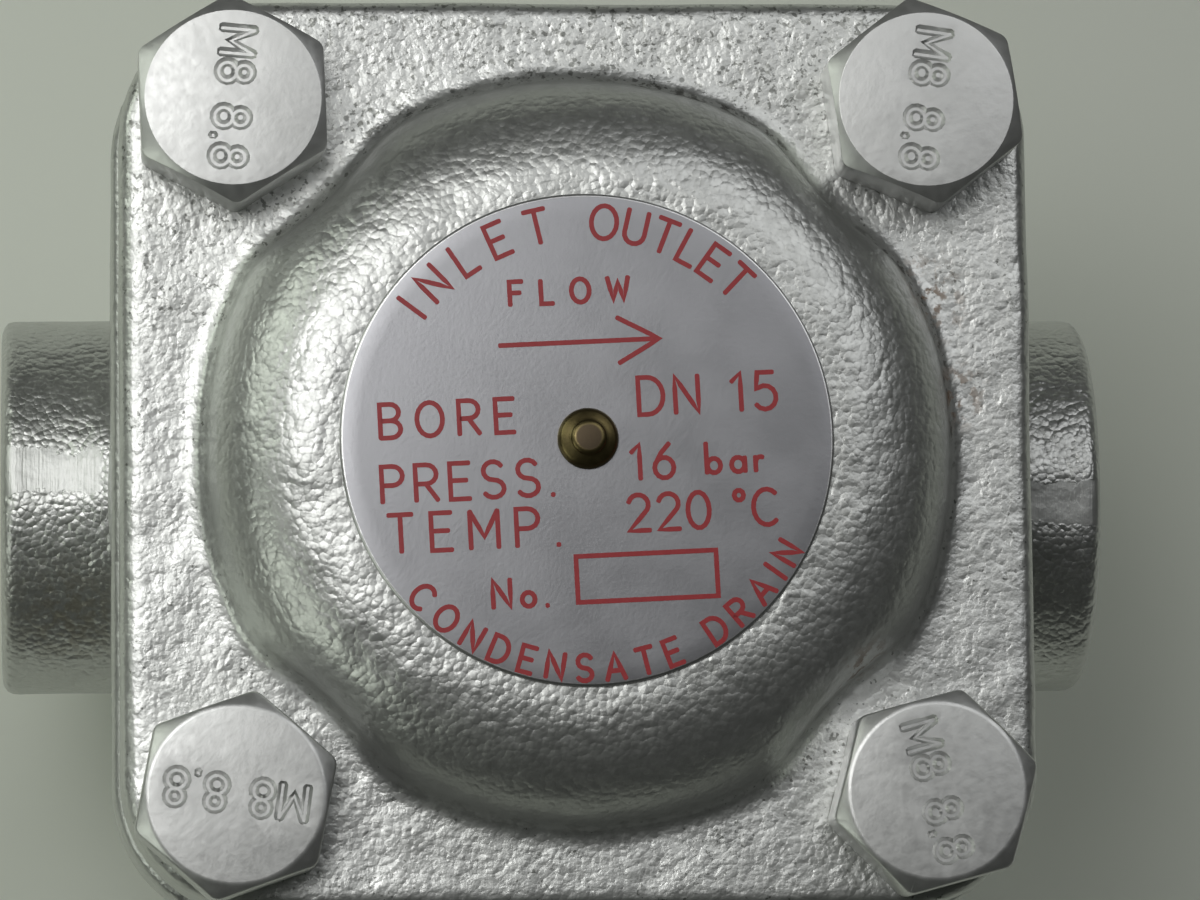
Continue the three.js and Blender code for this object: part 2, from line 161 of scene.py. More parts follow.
# ---- materials ----
class Nodes:
    """A short way to build one material's node tree."""

    def __init__(self, name):
        self.material = bpy.data.materials.new(name)
        self.material.use_nodes = True
        self.tree = self.material.node_tree
        self.tree.nodes.clear()
        output = self.tree.nodes.new("ShaderNodeOutputMaterial")
        self.shader = self.tree.nodes.new("ShaderNodeBsdfPrincipled")
        self.link(self.shader.outputs["BSDF"], output.inputs["Surface"])
        self.place = self.tree.nodes.new("ShaderNodeTexCoord").outputs["Object"]

    def link(self, source, target):
        self.tree.links.new(source, target)

    def put(self, value, target):
        if isinstance(value, bpy.types.NodeSocket):
            self.link(value, target)
        else:
            target.default_value = value

    def noise(self, size, detail=2.0, roughness=0.5, place=None):
        """Noise in 0..1 whose features are about size millimetres across."""
        node = self.tree.nodes.new("ShaderNodeTexNoise")
        self.link(place or self.place, node.inputs["Vector"])
        node.inputs["Scale"].default_value = 1 / (size * MM)
        node.inputs["Detail"].default_value = detail
        node.inputs["Roughness"].default_value = roughness
        return node.outputs["Fac"]

    def cells(self, size):
        """Distance to the nearest of points scattered about size millimetres apart, 0 to about 1."""
        node = self.tree.nodes.new("ShaderNodeTexVoronoi")
        self.link(self.place, node.inputs["Vector"])
        node.inputs["Scale"].default_value = 1 / (size * MM)
        return node.outputs["Distance"]

    def ramp(self, value, low, high, to_low=0.0, to_high=1.0):
        """A smooth step: to_low where value is low or less, to_high where it is high or more."""
        node = self.tree.nodes.new("ShaderNodeMapRange")
        node.interpolation_type = "SMOOTHSTEP"
        self.link(value, node.inputs["Value"])
        node.inputs["From Min"].default_value = low
        node.inputs["From Max"].default_value = high
        node.inputs["To Min"].default_value = to_low
        node.inputs["To Max"].default_value = to_high
        return node.outputs["Result"]

    def ramp_mm(self, length, low, high, to_low=0.0, to_high=1.0):
        """A smooth step over a length, with low and high in millimetres."""
        return self.ramp(length, low * MM, high * MM, to_low, to_high)

    def math(self, operation, a, b=0.0, c=0.0):
        node = self.tree.nodes.new("ShaderNodeMath")
        node.operation = operation
        for value, socket in zip((a, b, c), node.inputs):
            self.put(value, socket)
        return node.outputs["Value"]

    def times(self, a, b):
        return self.math("MULTIPLY", a, b)

    def plus(self, a, b):
        return self.math("ADD", a, b)

    def most(self, a, b):
        return self.math("MAXIMUM", a, b)

    def scaled_plus(self, a, factor, b):
        return self.math("MULTIPLY_ADD", a, factor, b)

    def squared(self, a):
        return self.times(a, a)

    def mix(self, factor, a, b):
        """Colour a, going over to b as factor goes from 0 to 1."""
        node = self.tree.nodes.new("ShaderNodeMix")
        node.data_type = "RGBA"
        self.put(factor, node.inputs["Factor"])
        self.put(a, node.inputs[6])
        self.put(b, node.inputs[7])
        return node.outputs[2]

    def mix_value(self, factor, a, b):
        """The same for plain values."""
        node = self.tree.nodes.new("ShaderNodeMix")
        for value, socket in zip((factor, a, b), (0, 2, 3)):
            self.put(value, node.inputs[socket])
        return node.outputs[0]

    def split(self):
        """The object coordinates x, y and z, in metres."""
        node = self.tree.nodes.new("ShaderNodeSeparateXYZ")
        self.link(self.place, node.inputs[0])
        return node.outputs

    def stretched(self, x, y, z):
        """Object coordinates scaled along each axis, for brushed or scratched patterns."""
        node = self.tree.nodes.new("ShaderNodeMapping")
        self.link(self.place, node.inputs["Vector"])
        node.inputs["Scale"].default_value = (x, y, z)
        return node.outputs["Vector"]

    def near(self, point, reach):
        """1 at a point given in mm, falling to 0 at reach mm from it."""
        node = self.tree.nodes.new("ShaderNodeVectorMath")
        node.operation = "DISTANCE"
        self.link(self.place, node.inputs[0])
        node.inputs[1].default_value = [v * MM for v in point]
        return self.ramp_mm(node.outputs["Value"], 0.0, reach, 1.0, 0.0)

    def bump(self, height, depth, under=None):
        """Bump of the given depth in mm for heights from 0 to 1."""
        node = self.tree.nodes.new("ShaderNodeBump")
        node.inputs["Distance"].default_value = depth * MM
        self.link(height, node.inputs["Height"])
        if under is not None:
            self.link(under, node.inputs["Normal"])
        return node.outputs["Normal"]

    def finish(self, color, metallic, roughness, normal):
        """Joins the four to the shader and gives the material."""
        self.put(color, self.shader.inputs["Base Color"])
        self.put(metallic, self.shader.inputs["Metallic"])
        self.put(roughness, self.shader.inputs["Roughness"])
        self.link(normal, self.shader.inputs["Normal"])
        return self.material


def cast_regions(n):
    """Masks for the dome, the flange's top face, what lies below the flanges, and the ground bands."""
    x, y, z = n.split()
    dome = n.ramp_mm(z, flange_top + 0.5, flange_top + 1.0)
    top_face = n.math("SUBTRACT", n.ramp_mm(z, flange_top - 1.0, flange_top - 0.4), dome)
    below = n.ramp_mm(z, port_axis + 15.5, port_axis + 17.0, 1.0, 0.0)
    off_band = n.math("ABSOLUTE", n.scaled_plus(n.math("SIGN", x), GROUND_OFFSET * MM, y))
    off_band = n.scaled_plus(n.noise(2.2, 4, 0.65), 2.6 * MM, off_band)
    beyond_flange = n.ramp_mm(n.math("ABSOLUTE", x), body_high[1] + 0.4, body_high[1] + 0.9)
    crown = port_axis + PORT_R
    on_crown = n.times(beyond_flange, n.ramp_mm(z, crown - 1.6, crown - 1.2))
    ground = n.times(on_crown, n.ramp_mm(off_band, 2.85, 3.05, 1.0, 0.0))
    return dome, top_face, below, ground


def cast_relief(n, dome, below, ground):
    """The cast skin: fine grain above, pebbles below the flanges, scratched ground bands."""
    grain = n.times(n.squared(n.cells(0.48)), -0.65)
    grain = n.plus(n.noise(0.66, 2, 0.45), n.scaled_plus(n.noise(1.3), 0.8, grain))
    up_dome = n.ramp_mm(n.split()["Z"], flange_top + 1.0, flange_top + 4.0, 0.15, 0.33)
    grain = n.times(grain, n.mix_value(dome, 0.21, up_dome))
    grain = n.scaled_plus(n.noise(0.30), n.mix_value(dome, 0.15, 0.05), grain)
    pebbles = n.times(n.squared(n.cells(0.46)), -0.42)
    pebbles = n.scaled_plus(n.noise(1.0), 0.60, pebbles)
    pebbles = n.scaled_plus(n.noise(0.28), 0.16, pebbles)
    scratches = n.noise(0.22, 3, 0.6, n.stretched(1.0, 0.04, 0.3))
    ground_height = n.scaled_plus(n.noise(0.3), 0.10, n.times(scratches, 0.22))
    height = n.mix_value(ground, n.mix_value(below, grain, pebbles), ground_height)
    return n.bump(height, 0.17, n.bump(n.noise(2.4), 0.15))


def flange_dirt(n, base, top_face):
    """Dark specks and faint stains on the flange, thickest near one corner and along the back edge."""
    crowded = n.near((-20.0, 30.0, flange_top), 36.0)
    crowded = n.most(crowded, n.ramp_mm(n.split()["Y"], 21.0, 27.0, 0.0, 0.75))
    specks = n.scaled_plus(n.noise(5.0), 0.30, n.noise(0.42, 2, 0.55))
    specks = n.plus(specks, n.ramp(crowded, 0.0, 0.8, 0.075, 0.0))
    dots = n.scaled_plus(n.noise(0.4, 3, 0.6), 0.30, n.cells(1.25))
    dots = n.plus(dots, n.ramp(crowded, 0.1, 0.8, 0.10, 0.0))
    marks = n.most(n.ramp(specks, 0.49, 0.56, 1.0, 0.0), n.ramp(dots, 0.27, 0.35, 0.95, 0.0))
    stains = n.times(n.ramp(n.noise(0.95, 3, 0.7), 0.35, 0.42, 1.0, 0.0), n.ramp(crowded, 0.1, 0.7))
    base = n.mix(n.times(n.times(stains, top_face), 0.5), base, (0.21, 0.215, 0.19, 1))
    return n.mix(n.times(n.times(marks, top_face), 0.72), base, (0.13, 0.135, 0.12, 1))


def crumbs_and_crease_shade(n, base):
    """Black crumbs of lost paint and painted shade in the crease round the dome, mostly on the two sides
    toward +Y and +X.
    """
    z = n.split()["Z"]
    foot = n.times(
        n.ramp_mm(z, flange_top + 0.05, flange_top + 0.4),
        n.ramp_mm(z, flange_top + 1.0, flange_top + 2.2, 1.0, 0.0),
    )
    darker_sides = n.most(n.near((10.0, 25.0, flange_top), 11.0), n.near((25.0, 8.0, flange_top), 13.0))
    foot = n.times(foot, n.ramp(darker_sides, 0.0, 0.6, 0.25, 1.0))
    crumbs = n.times(foot, n.ramp(n.noise(0.9, 3, 0.65), 0.47, 0.62))
    return n.mix(n.times(crumbs, 0.75), base, (0.07, 0.065, 0.05, 1))


def rust_spots(n):
    """Small rust spots beside the dome and low on its side."""
    beside_dome = n.most(n.near((24.7, 10.8, flange_top), 4.5), n.near((26.8, 4.0, flange_top), 3.5))
    on_dome = n.near((19.5, -15.5, flange_top + 3), 3.5)
    return n.times(n.ramp(n.noise(1.0, 3, 0.6), 0.50, 0.60), n.most(beside_dome, on_dome))


def cast_paint():
    """Aluminium paint over a sand casting, with painted shade that darkens it a little away from the
    flange's top face.
    """
    n = Nodes("cast_aluminium_paint")
    dome, top_face, below, ground = cast_regions(n)
    base = n.mix(n.noise(9, 3), (0.66, 0.67, 0.645, 1), (0.735, 0.745, 0.73, 1))
    # Painted shade: every face except the flange's top face is darkened a little.
    painted_shade_off_top = n.times(n.math("SUBTRACT", 1.0, top_face), 0.11)
    base = n.mix(painted_shade_off_top, base, (0.10, 0.10, 0.09, 1))
    # Black crumbs of lost paint and painted shade darken the crease round the dome's foot.
    base = crumbs_and_crease_shade(n, flange_dirt(n, base, top_face))
    rust = rust_spots(n)
    base = n.mix(n.times(rust, 0.85), base, (0.20, 0.11, 0.05, 1))
    brown = n.times(n.near((-36.0, -8.5, port_axis + 10), 7.0), n.ramp(n.noise(0.8, 3, 0.6), 0.38, 0.62))
    base = n.mix(n.times(brown, 0.55), base, (0.30, 0.25, 0.15, 1))
    metallic = n.ramp(rust, 0.0, 1.0, 0.88, 0.2)
    rough = n.mix_value(ground, n.ramp(n.noise(0.8), 0.3, 0.7, 0.34, 0.42), 0.43)
    return n.finish(base, metallic, rough, cast_relief(n, dome, below, ground))


def bolt_paint():
    """The same paint over a smooth forged head."""
    n = Nodes("bolt_aluminium_paint")
    grain = n.noise(0.5, 3, 0.6)
    height = n.plus(n.times(n.noise(2.0), 0.7), n.times(grain, 0.3))
    base = n.mix(n.noise(3.5, 3), (0.64, 0.645, 0.63, 1), (0.72, 0.725, 0.715, 1))
    rough = n.ramp(n.noise(0.8), 0.3, 0.7, 0.36, 0.42)
    return n.finish(base, 0.88, rough, n.bump(height, 0.03))


def machined_iron():
    """Bare turned iron: fine rings of tool marks, darker than the paint."""
    n = Nodes("machined_iron")
    marks = n.noise(0.35, 3, 0.6, n.stretched(6.0, 1.0, 1.0))
    base = n.mix(n.noise(3.0, 3), (0.33, 0.33, 0.32, 1), (0.46, 0.45, 0.43, 1))
    return n.finish(base, 1.0, n.ramp(marks, 0.3, 0.7, 0.28, 0.42), n.bump(marks, 0.02))


def satin_plate():
    """Satin anodised aluminium sheet, faintly clouded."""
    n = Nodes("satin_plate")
    cloud = n.noise(4.0, 3, 0.55)
    base = n.mix(cloud, (0.38, 0.38, 0.40, 1), (0.42, 0.42, 0.44, 1))
    rough = n.ramp(cloud, 0.3, 0.7, 0.33, 0.37)
    return n.finish(base, 0.92, rough, n.bump(n.noise(0.3, 2, 0.6), 0.006))


def plate_edge_highlight():
    """The plate's rounded edge, painted brighter than its face as a highlight."""
    n = Nodes("plate_edge_highlight")
    base = n.mix(n.noise(1.5), (0.70, 0.70, 0.70, 1), (0.80, 0.80, 0.80, 1))
    return n.finish(base, 1.0, 0.34, n.bump(n.noise(0.3), 0.01))


def red_ink():
    n = Nodes("red_ink")
    wear = n.noise(0.5, 3, 0.6)
    base = n.mix(wear, (0.36, 0.020, 0.028, 1), (0.47, 0.045, 0.050, 1))
    return n.finish(base, 0.0, 0.42, n.bump(wear, 0.01))


def polished_brass():
    """Tarnished brass, browner on the flat end of the pin."""
    n = Nodes("polished_brass")
    tarnish = n.noise(0.8, 3, 0.6)
    x, y, _ = n.split()
    away = n.math("SQRT", n.scaled_plus(x, x, n.squared(y)))
    pin_end = n.ramp_mm(away, 0.80, 1.00, 1.0, 0.0)
    base = n.mix(tarnish, (0.25, 0.20, 0.085, 1), (0.15, 0.12, 0.06, 1))
    base = n.mix(pin_end, base, (0.115, 0.088, 0.058, 1))
    rough = n.mix_value(pin_end, n.ramp(tarnish, 0.3, 0.7, 0.30, 0.40), 0.5)
    return n.finish(base, 1.0, rough, n.bump(n.noise(0.2), 0.006))


def fibre_sheet():
    n = Nodes("gasket_sheet")
    fibres = n.noise(0.35, 4, 0.7)
    base = n.mix(fibres, (0.045, 0.036, 0.028, 1), (0.13, 0.10, 0.07, 1))
    return n.finish(base, 0.0, 0.85, n.bump(fibres, 0.06))


def dull_copper():
    n = Nodes("dull_copper")
    tarnish = n.noise(1.2, 3, 0.6)
    base = n.mix(tarnish, (0.48, 0.24, 0.14, 1), (0.30, 0.15, 0.10, 1))
    return n.finish(base, 1.0, n.ramp(tarnish, 0.3, 0.7, 0.35, 0.5), n.bump(n.noise(0.4), 0.02))


def turned_steel():
    n = Nodes("turned_stainless")
    marks = n.noise(0.3, 3, 0.6, n.stretched(1.0, 1.0, 5.0))
    base = n.mix(n.noise(2.5), (0.52, 0.53, 0.53, 1), (0.62, 0.62, 0.62, 1))
    return n.finish(base, 1.0, n.ramp(marks, 0.3, 0.7, 0.18, 0.32), n.bump(marks, 0.01))


def heat_tinted_strip():
    n = Nodes("bimetal_strip")
    tint = n.noise(2.0, 3, 0.5)
    base = n.mix(tint, (0.50, 0.42, 0.28, 1), (0.42, 0.38, 0.36, 1))
    return n.finish(base, 1.0, n.ramp(tint, 0.3, 0.7, 0.25, 0.4), n.bump(n.noise(0.3), 0.01))


paint = cast_paint()
smooth_paint = bolt_paint()
bare_iron = machined_iron()
plate_face = satin_plate()
plate_rim_highlight = plate_edge_highlight()
ink = red_ink()
brass = polished_brass()
gasket_sheet = fibre_sheet()
copper = dull_copper()
stainless = turned_steel()
bimetal = heat_tinted_strip()


# ---- mesh helpers ----
def new_object(name, points_mm, faces, material):
    """A smooth-shaded mesh object."""
    mesh = bpy.data.meshes.new(name)
    points = np.asarray(points_mm, float) * MM
    mesh.from_pydata(points.tolist(), [], [list(map(int, face)) for face in faces])
    mesh.validate()
    mesh.materials.append(material)
    obj = bpy.data.objects.new(name, mesh)
    bpy.context.scene.collection.objects.link(obj)
    mesh.shade_smooth()
    return obj


def shade(obj, sharp_deg):
    """Smooth shading, with edges sharper than sharp_deg kept crisp."""
    obj.data.shade_smooth()
    obj.data.set_sharp_from_angle(angle=math.radians(sharp_deg))


def closed_object(name, points_mm, faces, material, sharp_deg):
    """A closed mesh whose faces are turned outwards."""
    obj = new_object(name, points_mm, faces, material)
    mesh = bmesh.new()
    mesh.from_mesh(obj.data)
    bmesh.ops.recalc_face_normals(mesh, faces=mesh.faces)
    mesh.to_mesh(obj.data)
    mesh.free()
    shade(obj, sharp_deg)
    return obj


def keep(obj, slot, *replaced):
    """Hands a finished piece to the frame: attaches it to its body and hides the CAD nodes it stands for.
    The slot argument is not used.
    """
    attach(obj, BODY)
    if replaced:
        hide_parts(*replaced)
    return obj


def apply_modifiers(obj):
    """Bakes an object's modifiers into its mesh."""
    graph = bpy.context.evaluated_depsgraph_get()
    made = bpy.data.meshes.new_from_object(obj.evaluated_get(graph))
    old = obj.data
    obj.modifiers.clear()
    obj.data = made
    bpy.data.meshes.remove(old)


def cut(obj, tools, operation="DIFFERENCE"):
    """Cuts, joins or trims an object with others, which are then removed."""
    for tool in tools:
        modifier = obj.modifiers.new("cut", "BOOLEAN")
        modifier.operation = operation
        modifier.solver = "EXACT"
        modifier.object = tool
        apply_modifiers(obj)
        mesh = tool.data
        bpy.data.objects.remove(tool)
        bpy.data.meshes.remove(mesh)


def turned(name, profile, material, sides=96, closed=False, sharp_deg=30):
    """A solid turned about Z from [radius, z] pairs, a ring if the profile is closed."""
    points, faces, rows = [], [], []
    for r, z in profile:
        if r < 1e-6:
            rows.append([len(points)] * sides)
            points.append((0.0, 0.0, z))
            continue
        rows.append(range(len(points), len(points) + sides))
        for i in range(sides):
            a = 2 * math.pi * i / sides
            points.append((r * math.cos(a), r * math.sin(a), z))
    pairs = list(zip(rows, rows[1:]))
    if closed:
        pairs.append((rows[-1], rows[0]))
    for lower, upper in pairs:
        for i in range(sides):
            j = (i + 1) % sides
            corners = [lower[i], lower[j], upper[j], upper[i]]
            face = [c for k, c in enumerate(corners) if c not in corners[:k]]
            if len(face) > 2:
                faces.append(face)
    return closed_object(name, points, faces, material, sharp_deg)


def arc(cx, cy, rx, ry, start, end, steps=10):
    """Points of an elliptical arc, angles in degrees."""
    angles = np.radians(np.linspace(start, end, steps + 1))
    return [(cx + rx * math.cos(a), cy + ry * math.sin(a)) for a in angles]


# ---- castings as distance fields ----
def lattice(low, high, step):
    """Coordinates of a grid over a box and a little beyond it, as three sparse axes."""
    axes = [np.arange(a - 3 * step, b + 3.5 * step, step, dtype=np.float32) for a, b in zip(low, high)]
    return np.meshgrid(*axes, indexing="ij", sparse=True)


def smooth_min(a, b, blend):
    """Joins two distance fields with a fillet about blend wide."""
    h = np.maximum(blend - np.abs(a - b), 0) / blend
    return np.minimum(a, b) - h * h * blend / 4


def smooth_max(a, b, blend):
    """The part that both fields share, with its new edges rounded."""
    return -smooth_min(-a, -b, blend)


def rounded(a, b, edge):
    """What two fields at right angles share, grown by edge so that it has rounded edges."""
    return np.hypot(np.maximum(a, 0), np.maximum(b, 0)) + np.minimum(np.maximum(a, b), 0) - edge


def rounded_slab(x, y, z, half, corner, bottom, top, edge):
    """A square plate with rounded corners and edges."""
    plan = rounded(np.abs(x) - (half - corner), np.abs(y) - (half - corner), corner) + edge
    rise = np.abs(z - (bottom + top) / 2) - (top - bottom) / 2 + edge
    return rounded(plan, rise, edge)


def upright(x, y, z, cx, cy, radius, bottom, top):
    """A plain cylinder along Z."""
    rho = np.hypot(x - cx, y - cy) - radius
    return np.maximum(rho, np.abs(z - (bottom + top) / 2) - (top - bottom) / 2)


def lying(x, y, z, radius, left, right, edge=0.0):
    """A cylinder along X on the port axis, with rounded ends."""
    rho = np.hypot(y, z - port_axis) - radius + edge
    along = np.abs(x - (left + right) / 2) - (right - left) / 2 + edge
    return rounded(rho, along, edge)


def bore(x, y, z, radius, bottom, top):
    """A plain cylinder on the trap's own upright axis."""
    return upright(x, y, z, 0, 0, radius, bottom, top)


def slanted(x, y, z, start, end, radius):
    """A round drilling between two points of the plane of the ports."""
    (x0, z0), (x1, z1) = start, end
    length2 = (x1 - x0) ** 2 + (z1 - z0) ** 2
    t = np.clip(((x - x0) * (x1 - x0) + (z - z0) * (z1 - z0)) / length2, 0, 1)
    return np.sqrt((x - x0 - t * (x1 - x0)) ** 2 + y * y + (z - z0 - t * (z1 - z0)) ** 2) - radius


def revolved(x, y, z, profile):
    """The solid that a closed [radius, z] outline sweeps about Z."""
    radii = np.arange(0, 60, 0.1, dtype=np.float32)[:, None]
    levels = z.reshape(1, -1)
    best = np.full((radii.shape[0], levels.shape[1]), 1e9, np.float32)
    inside = np.zeros(best.shape, bool)
    for (r0, z0), (r1, z1) in zip(profile, profile[1:] + profile[:1]):
        dr, dz = r1 - r0, z1 - z0
        t = np.clip(((radii - r0) * dr + (levels - z0) * dz) / max(dr * dr + dz * dz, 1e-12), 0, 1)
        on_axis = abs(r0) < 1e-6 and abs(r1) < 1e-6
        if not on_axis:
            best = np.minimum(best, np.hypot(radii - r0 - t * dr, levels - z0 - t * dz))
        crosses = (z0 > levels) != (z1 > levels)
        if dz:
            inside ^= crosses & (radii < r0 + dr * (levels - z0) / dz)
    table = np.where(inside, -best, best)
    rho = np.hypot(x, y)[:, :, 0]
    field = np.empty((*rho.shape, levels.shape[1]), np.float32)
    for k in range(levels.shape[1]):
        field[:, :, k] = np.interp(rho, radii[:, 0], table[:, k])
    return field


def unevenness(shape, step, size, amount):
    """Smooth seeded waviness over a lattice: bumps about size mm across and amount mm high."""
    weights, counts = [], []
    for n in shape:
        cells = int(n * step / size) + 4
        place = np.arange(n) * step / size + 1
        base = np.floor(place).astype(int)
        f = place - base
        row = np.zeros((n, cells + 3), np.float32)
        spline = [
            (1 - f) ** 3 / 6,
            (3 * f**3 - 6 * f**2 + 4) / 6,
            (-3 * f**3 + 3 * f**2 + 3 * f + 1) / 6,
            f**3 / 6,
        ]
        for k, w in enumerate(spline):
            row[np.arange(n), base + k - 1] += w
        weights.append(row)
        counts.append(cells + 3)
    coarse = rng.standard_normal(counts).astype(np.float32)
    for axis, w in enumerate(weights):
        coarse = np.moveaxis(np.tensordot(w, coarse, axes=(1, axis)), 0, axis)
    return coarse * amount * 2


def surface(name, field, axes, step, material):
    """The zero surface of a distance field as a mesh."""
    grid = openvdb.FloatGrid(3.0)
    grid.copyFromArray(np.ascontiguousarray(field, dtype=np.float32))
    grid.transform = openvdb.createLinearTransform(voxelSize=step)
    points, quads = grid.convertToQuads(isovalue=0.0)
    low = np.array([float(a.reshape(-1)[0]) for a in axes])
    return new_object(name, points + low, quads, material)


def bolt_holes(x, y, z, radius, bottom, top):
    """Four upright cylinders on the bolts' axes."""
    holes = [upright(x, y, z, cx, cy, radius, bottom, top) for cx, cy in bolt_centres]
    return np.minimum.reduce(holes)


def make_cover(step):
    """Cover casting: square flange, dome with a relief for each bolt, hollow underneath."""
    axes = lattice(cover_low, cover_high, step)
    x, y, z = axes
    half, bottom = cover_high[0], cover_low[2]
    plate = rounded_slab(x, y, z, half, CORNER_R, bottom, flange_top, FLANGE_EDGE_R)
    rise = dome_top - flange_top
    shoulder = [
        (DOME_TOP_R + (DOME_BASE_R - DOME_TOP_R) * math.sin(a), flange_top + rise * math.cos(a))
        for a in np.linspace(math.pi / 2, 0, 25)
    ]
    root = flange_top - 3
    dome = revolved(x, y, z, [(0, root), (DOME_BASE_R, root)] + shoulder + [(0, dome_top)])
    reliefs = bolt_holes(x, y, z, BOLT_RELIEF_R, flange_top - 9, dome_top + 9)
    dome = smooth_max(dome, -reliefs, RELIEF_FILLET)
    field = smooth_min(plate, dome, DOME_FILLET)
    waves = unevenness(field.shape, step, 2.4, 0.035)
    waves += unevenness(field.shape, step, 7.0, 0.05)
    rough_part = np.clip((z - bottom - 0.8) / 1.0, 0, 1)
    beside_plate = np.clip((np.hypot(x, y) - DOME_TOP_R + 0.4) / 1.0, 0, 1)
    flat_top = np.where(z > dome_top - 1.5, beside_plate, 1.0)
    field = field + (waves + 0.05) * rough_part * flat_top
    gaps = [
        bore(x, y, z, CAVITY_R, bottom - 5, cap_top),
        bore(x, y, z, CAP_POCKET_R, bottom, cap_top + 1.4),
        bore(x, y, z, PIN_HOLE_R, pin_low[2] - 0.3, dome_top + 5),
        bolt_holes(x, y, z, BOLT_HOLE_R, bottom - 5, flange_top + 5),
    ]
    for gap in gaps:
        field = np.maximum(field, -gap)
    cover = surface("cover_casting", field, axes, step, paint)
    return keep(cover, "cast_paint", "cover")


def arrow_plan(x, z, cx, cz, length, height):
    """Distance in the XZ plane to a flow arrow that points along +X."""
    shaft = np.maximum(np.abs(x - cx + length * 0.18) - length * 0.32, np.abs(z - cz) - height * 0.17)
    slope = math.atan2(height / 2, length * 0.36)
    tip = cx + length / 2
    head = (x - tip) * math.sin(slope) + np.abs(z - cz) * math.cos(slope)
    head = np.maximum(head, cx + length * 0.14 - x)
    return np.minimum(shaft, head)


def body_gaps(x, y, z, flange_low, top, bottom):
    """The body's seat recess, gallery, riser, chamber, plug bore, drillings, bolt holes and sockets."""
    recess = seat_bottom - 0.8
    socket_end = port_end - SOCKET_DEPTH
    gallery = bore(x, y, z, GALLERY_OUT_R, recess - GALLERY_DEPTH, recess + 1)
    gaps = [
        bore(x, y, z, SEAT_RECESS_R, recess, top + 5),
        np.maximum(gallery, GALLERY_IN_R - np.hypot(x, y)),
        bore(x, y, z, RISER_R, chamber_roof - 1, recess + 1),
        bore(x, y, z, CHAMBER_R, bottom - 5, chamber_roof),
        bore(x, y, z, PLUG_BORE_R, bottom - 5, plug_high[2] + 1),
        slanted(x, y, z, (-socket_end - 2, port_axis + 0.5), (-9, chamber_roof - 4), INLET_DRILL_R),
        slanted(x, y, z, (7.5, recess - 2.5), (socket_end + 2, port_axis + 3), OUTLET_DRILL_R),
        bolt_holes(x, y, z, BOLT_HOLE_R - 0.1, flange_low - 5, top + 5),
    ]
    thread_root = SOCKET_CREST_R + THREAD_DEPTH
    for side in (-1, 1):
        ends = sorted((side * socket_end, side * (port_end + 5)))
        mouth = np.hypot(y, z - port_axis) - (thread_root + 1.2) - (side * x - port_end)
        gaps.append(lying(x, y, z, thread_root + 0.3, *ends))
        gaps.append(np.maximum(mouth, port_end - 2 - side * x))
    return gaps


def make_body(step):
    """Body casting: flange, two ports with ground bands, flow arrows and strainer barrel."""
    axes = lattice(body_low, body_high, step)
    x, y, z = axes
    half, top, bottom = body_high[1], body_high[2], body_low[2]
    flange_low = top - BODY_FLANGE_HEIGHT
    flange = rounded_slab(x, y, z, half, CORNER_R + 0.5, flange_low, top, BODY_EDGE_R)
    core = revolved(x, y, z, [
        (0, bottom), (BARREL_R - BARREL_EDGE, bottom), (BARREL_R, bottom + BARREL_EDGE),
        (BARREL_R, port_axis - 6), (19, port_axis + 6),
        (21, flange_low - 3), (23, flange_low + 3), (0, flange_low + 3),
    ])
    ports = lying(x, y, z, PORT_R, -port_end, port_end, PORT_EDGE_R)
    lean = GROUND_OFFSET / PORT_R
    ground = (z - port_axis) * math.cos(lean) - np.sign(x) * y * math.sin(lean) - (PORT_R - 0.1)
    ports = smooth_max(ports, np.where(np.abs(x) > half - 2, ground, -9.0), 0.15)
    field = smooth_min(core, ports, 6.0)
    field = smooth_min(field, flange, 7.0)
    arrow = arrow_plan(x, z, 0.0, port_axis + 1.5, ARROW_LENGTH, ARROW_HEIGHT)
    wall = np.abs(np.abs(y) - (BARREL_R + 0.6)) - 1.6
    field = smooth_min(field, smooth_max(arrow, wall, 0.8), 0.6)
    flat_ends = np.clip((port_end - 0.6 - np.abs(x)) / 0.8, 0, 1)
    flat_faces = np.clip((top - 0.8 - z) / 0.8, 0, 1) * np.clip((z - bottom - 0.8) / 0.8, 0, 1)
    waves = unevenness(field.shape, step, 2.6, 0.05)
    waves += unevenness(field.shape, step, 8.0, 0.06)
    field = field + (waves + 0.06) * flat_ends * flat_faces

    for gap in body_gaps(x, y, z, flange_low, top, bottom):
        field = np.maximum(field, -gap)
    body = surface("body_casting", field, axes, step, paint)
    return keep(body, "cast_paint", "body")


def thread_radius(along, turn, length):
    """Radius of the thread's surface at a depth along the socket and a fraction of a turn round it."""
    phase = (along / THREAD_PITCH + turn) % 1.0
    ridge = 1 - abs(2 * phase - 1)
    ridge = min(max((ridge - 0.12) / 0.76, 0), 1)  # flats at crest and root
    runout = min(1.0, (length - along) / THREAD_RUNOUT)
    return SOCKET_CREST_R + THREAD_DEPTH * (1 - ridge) * runout


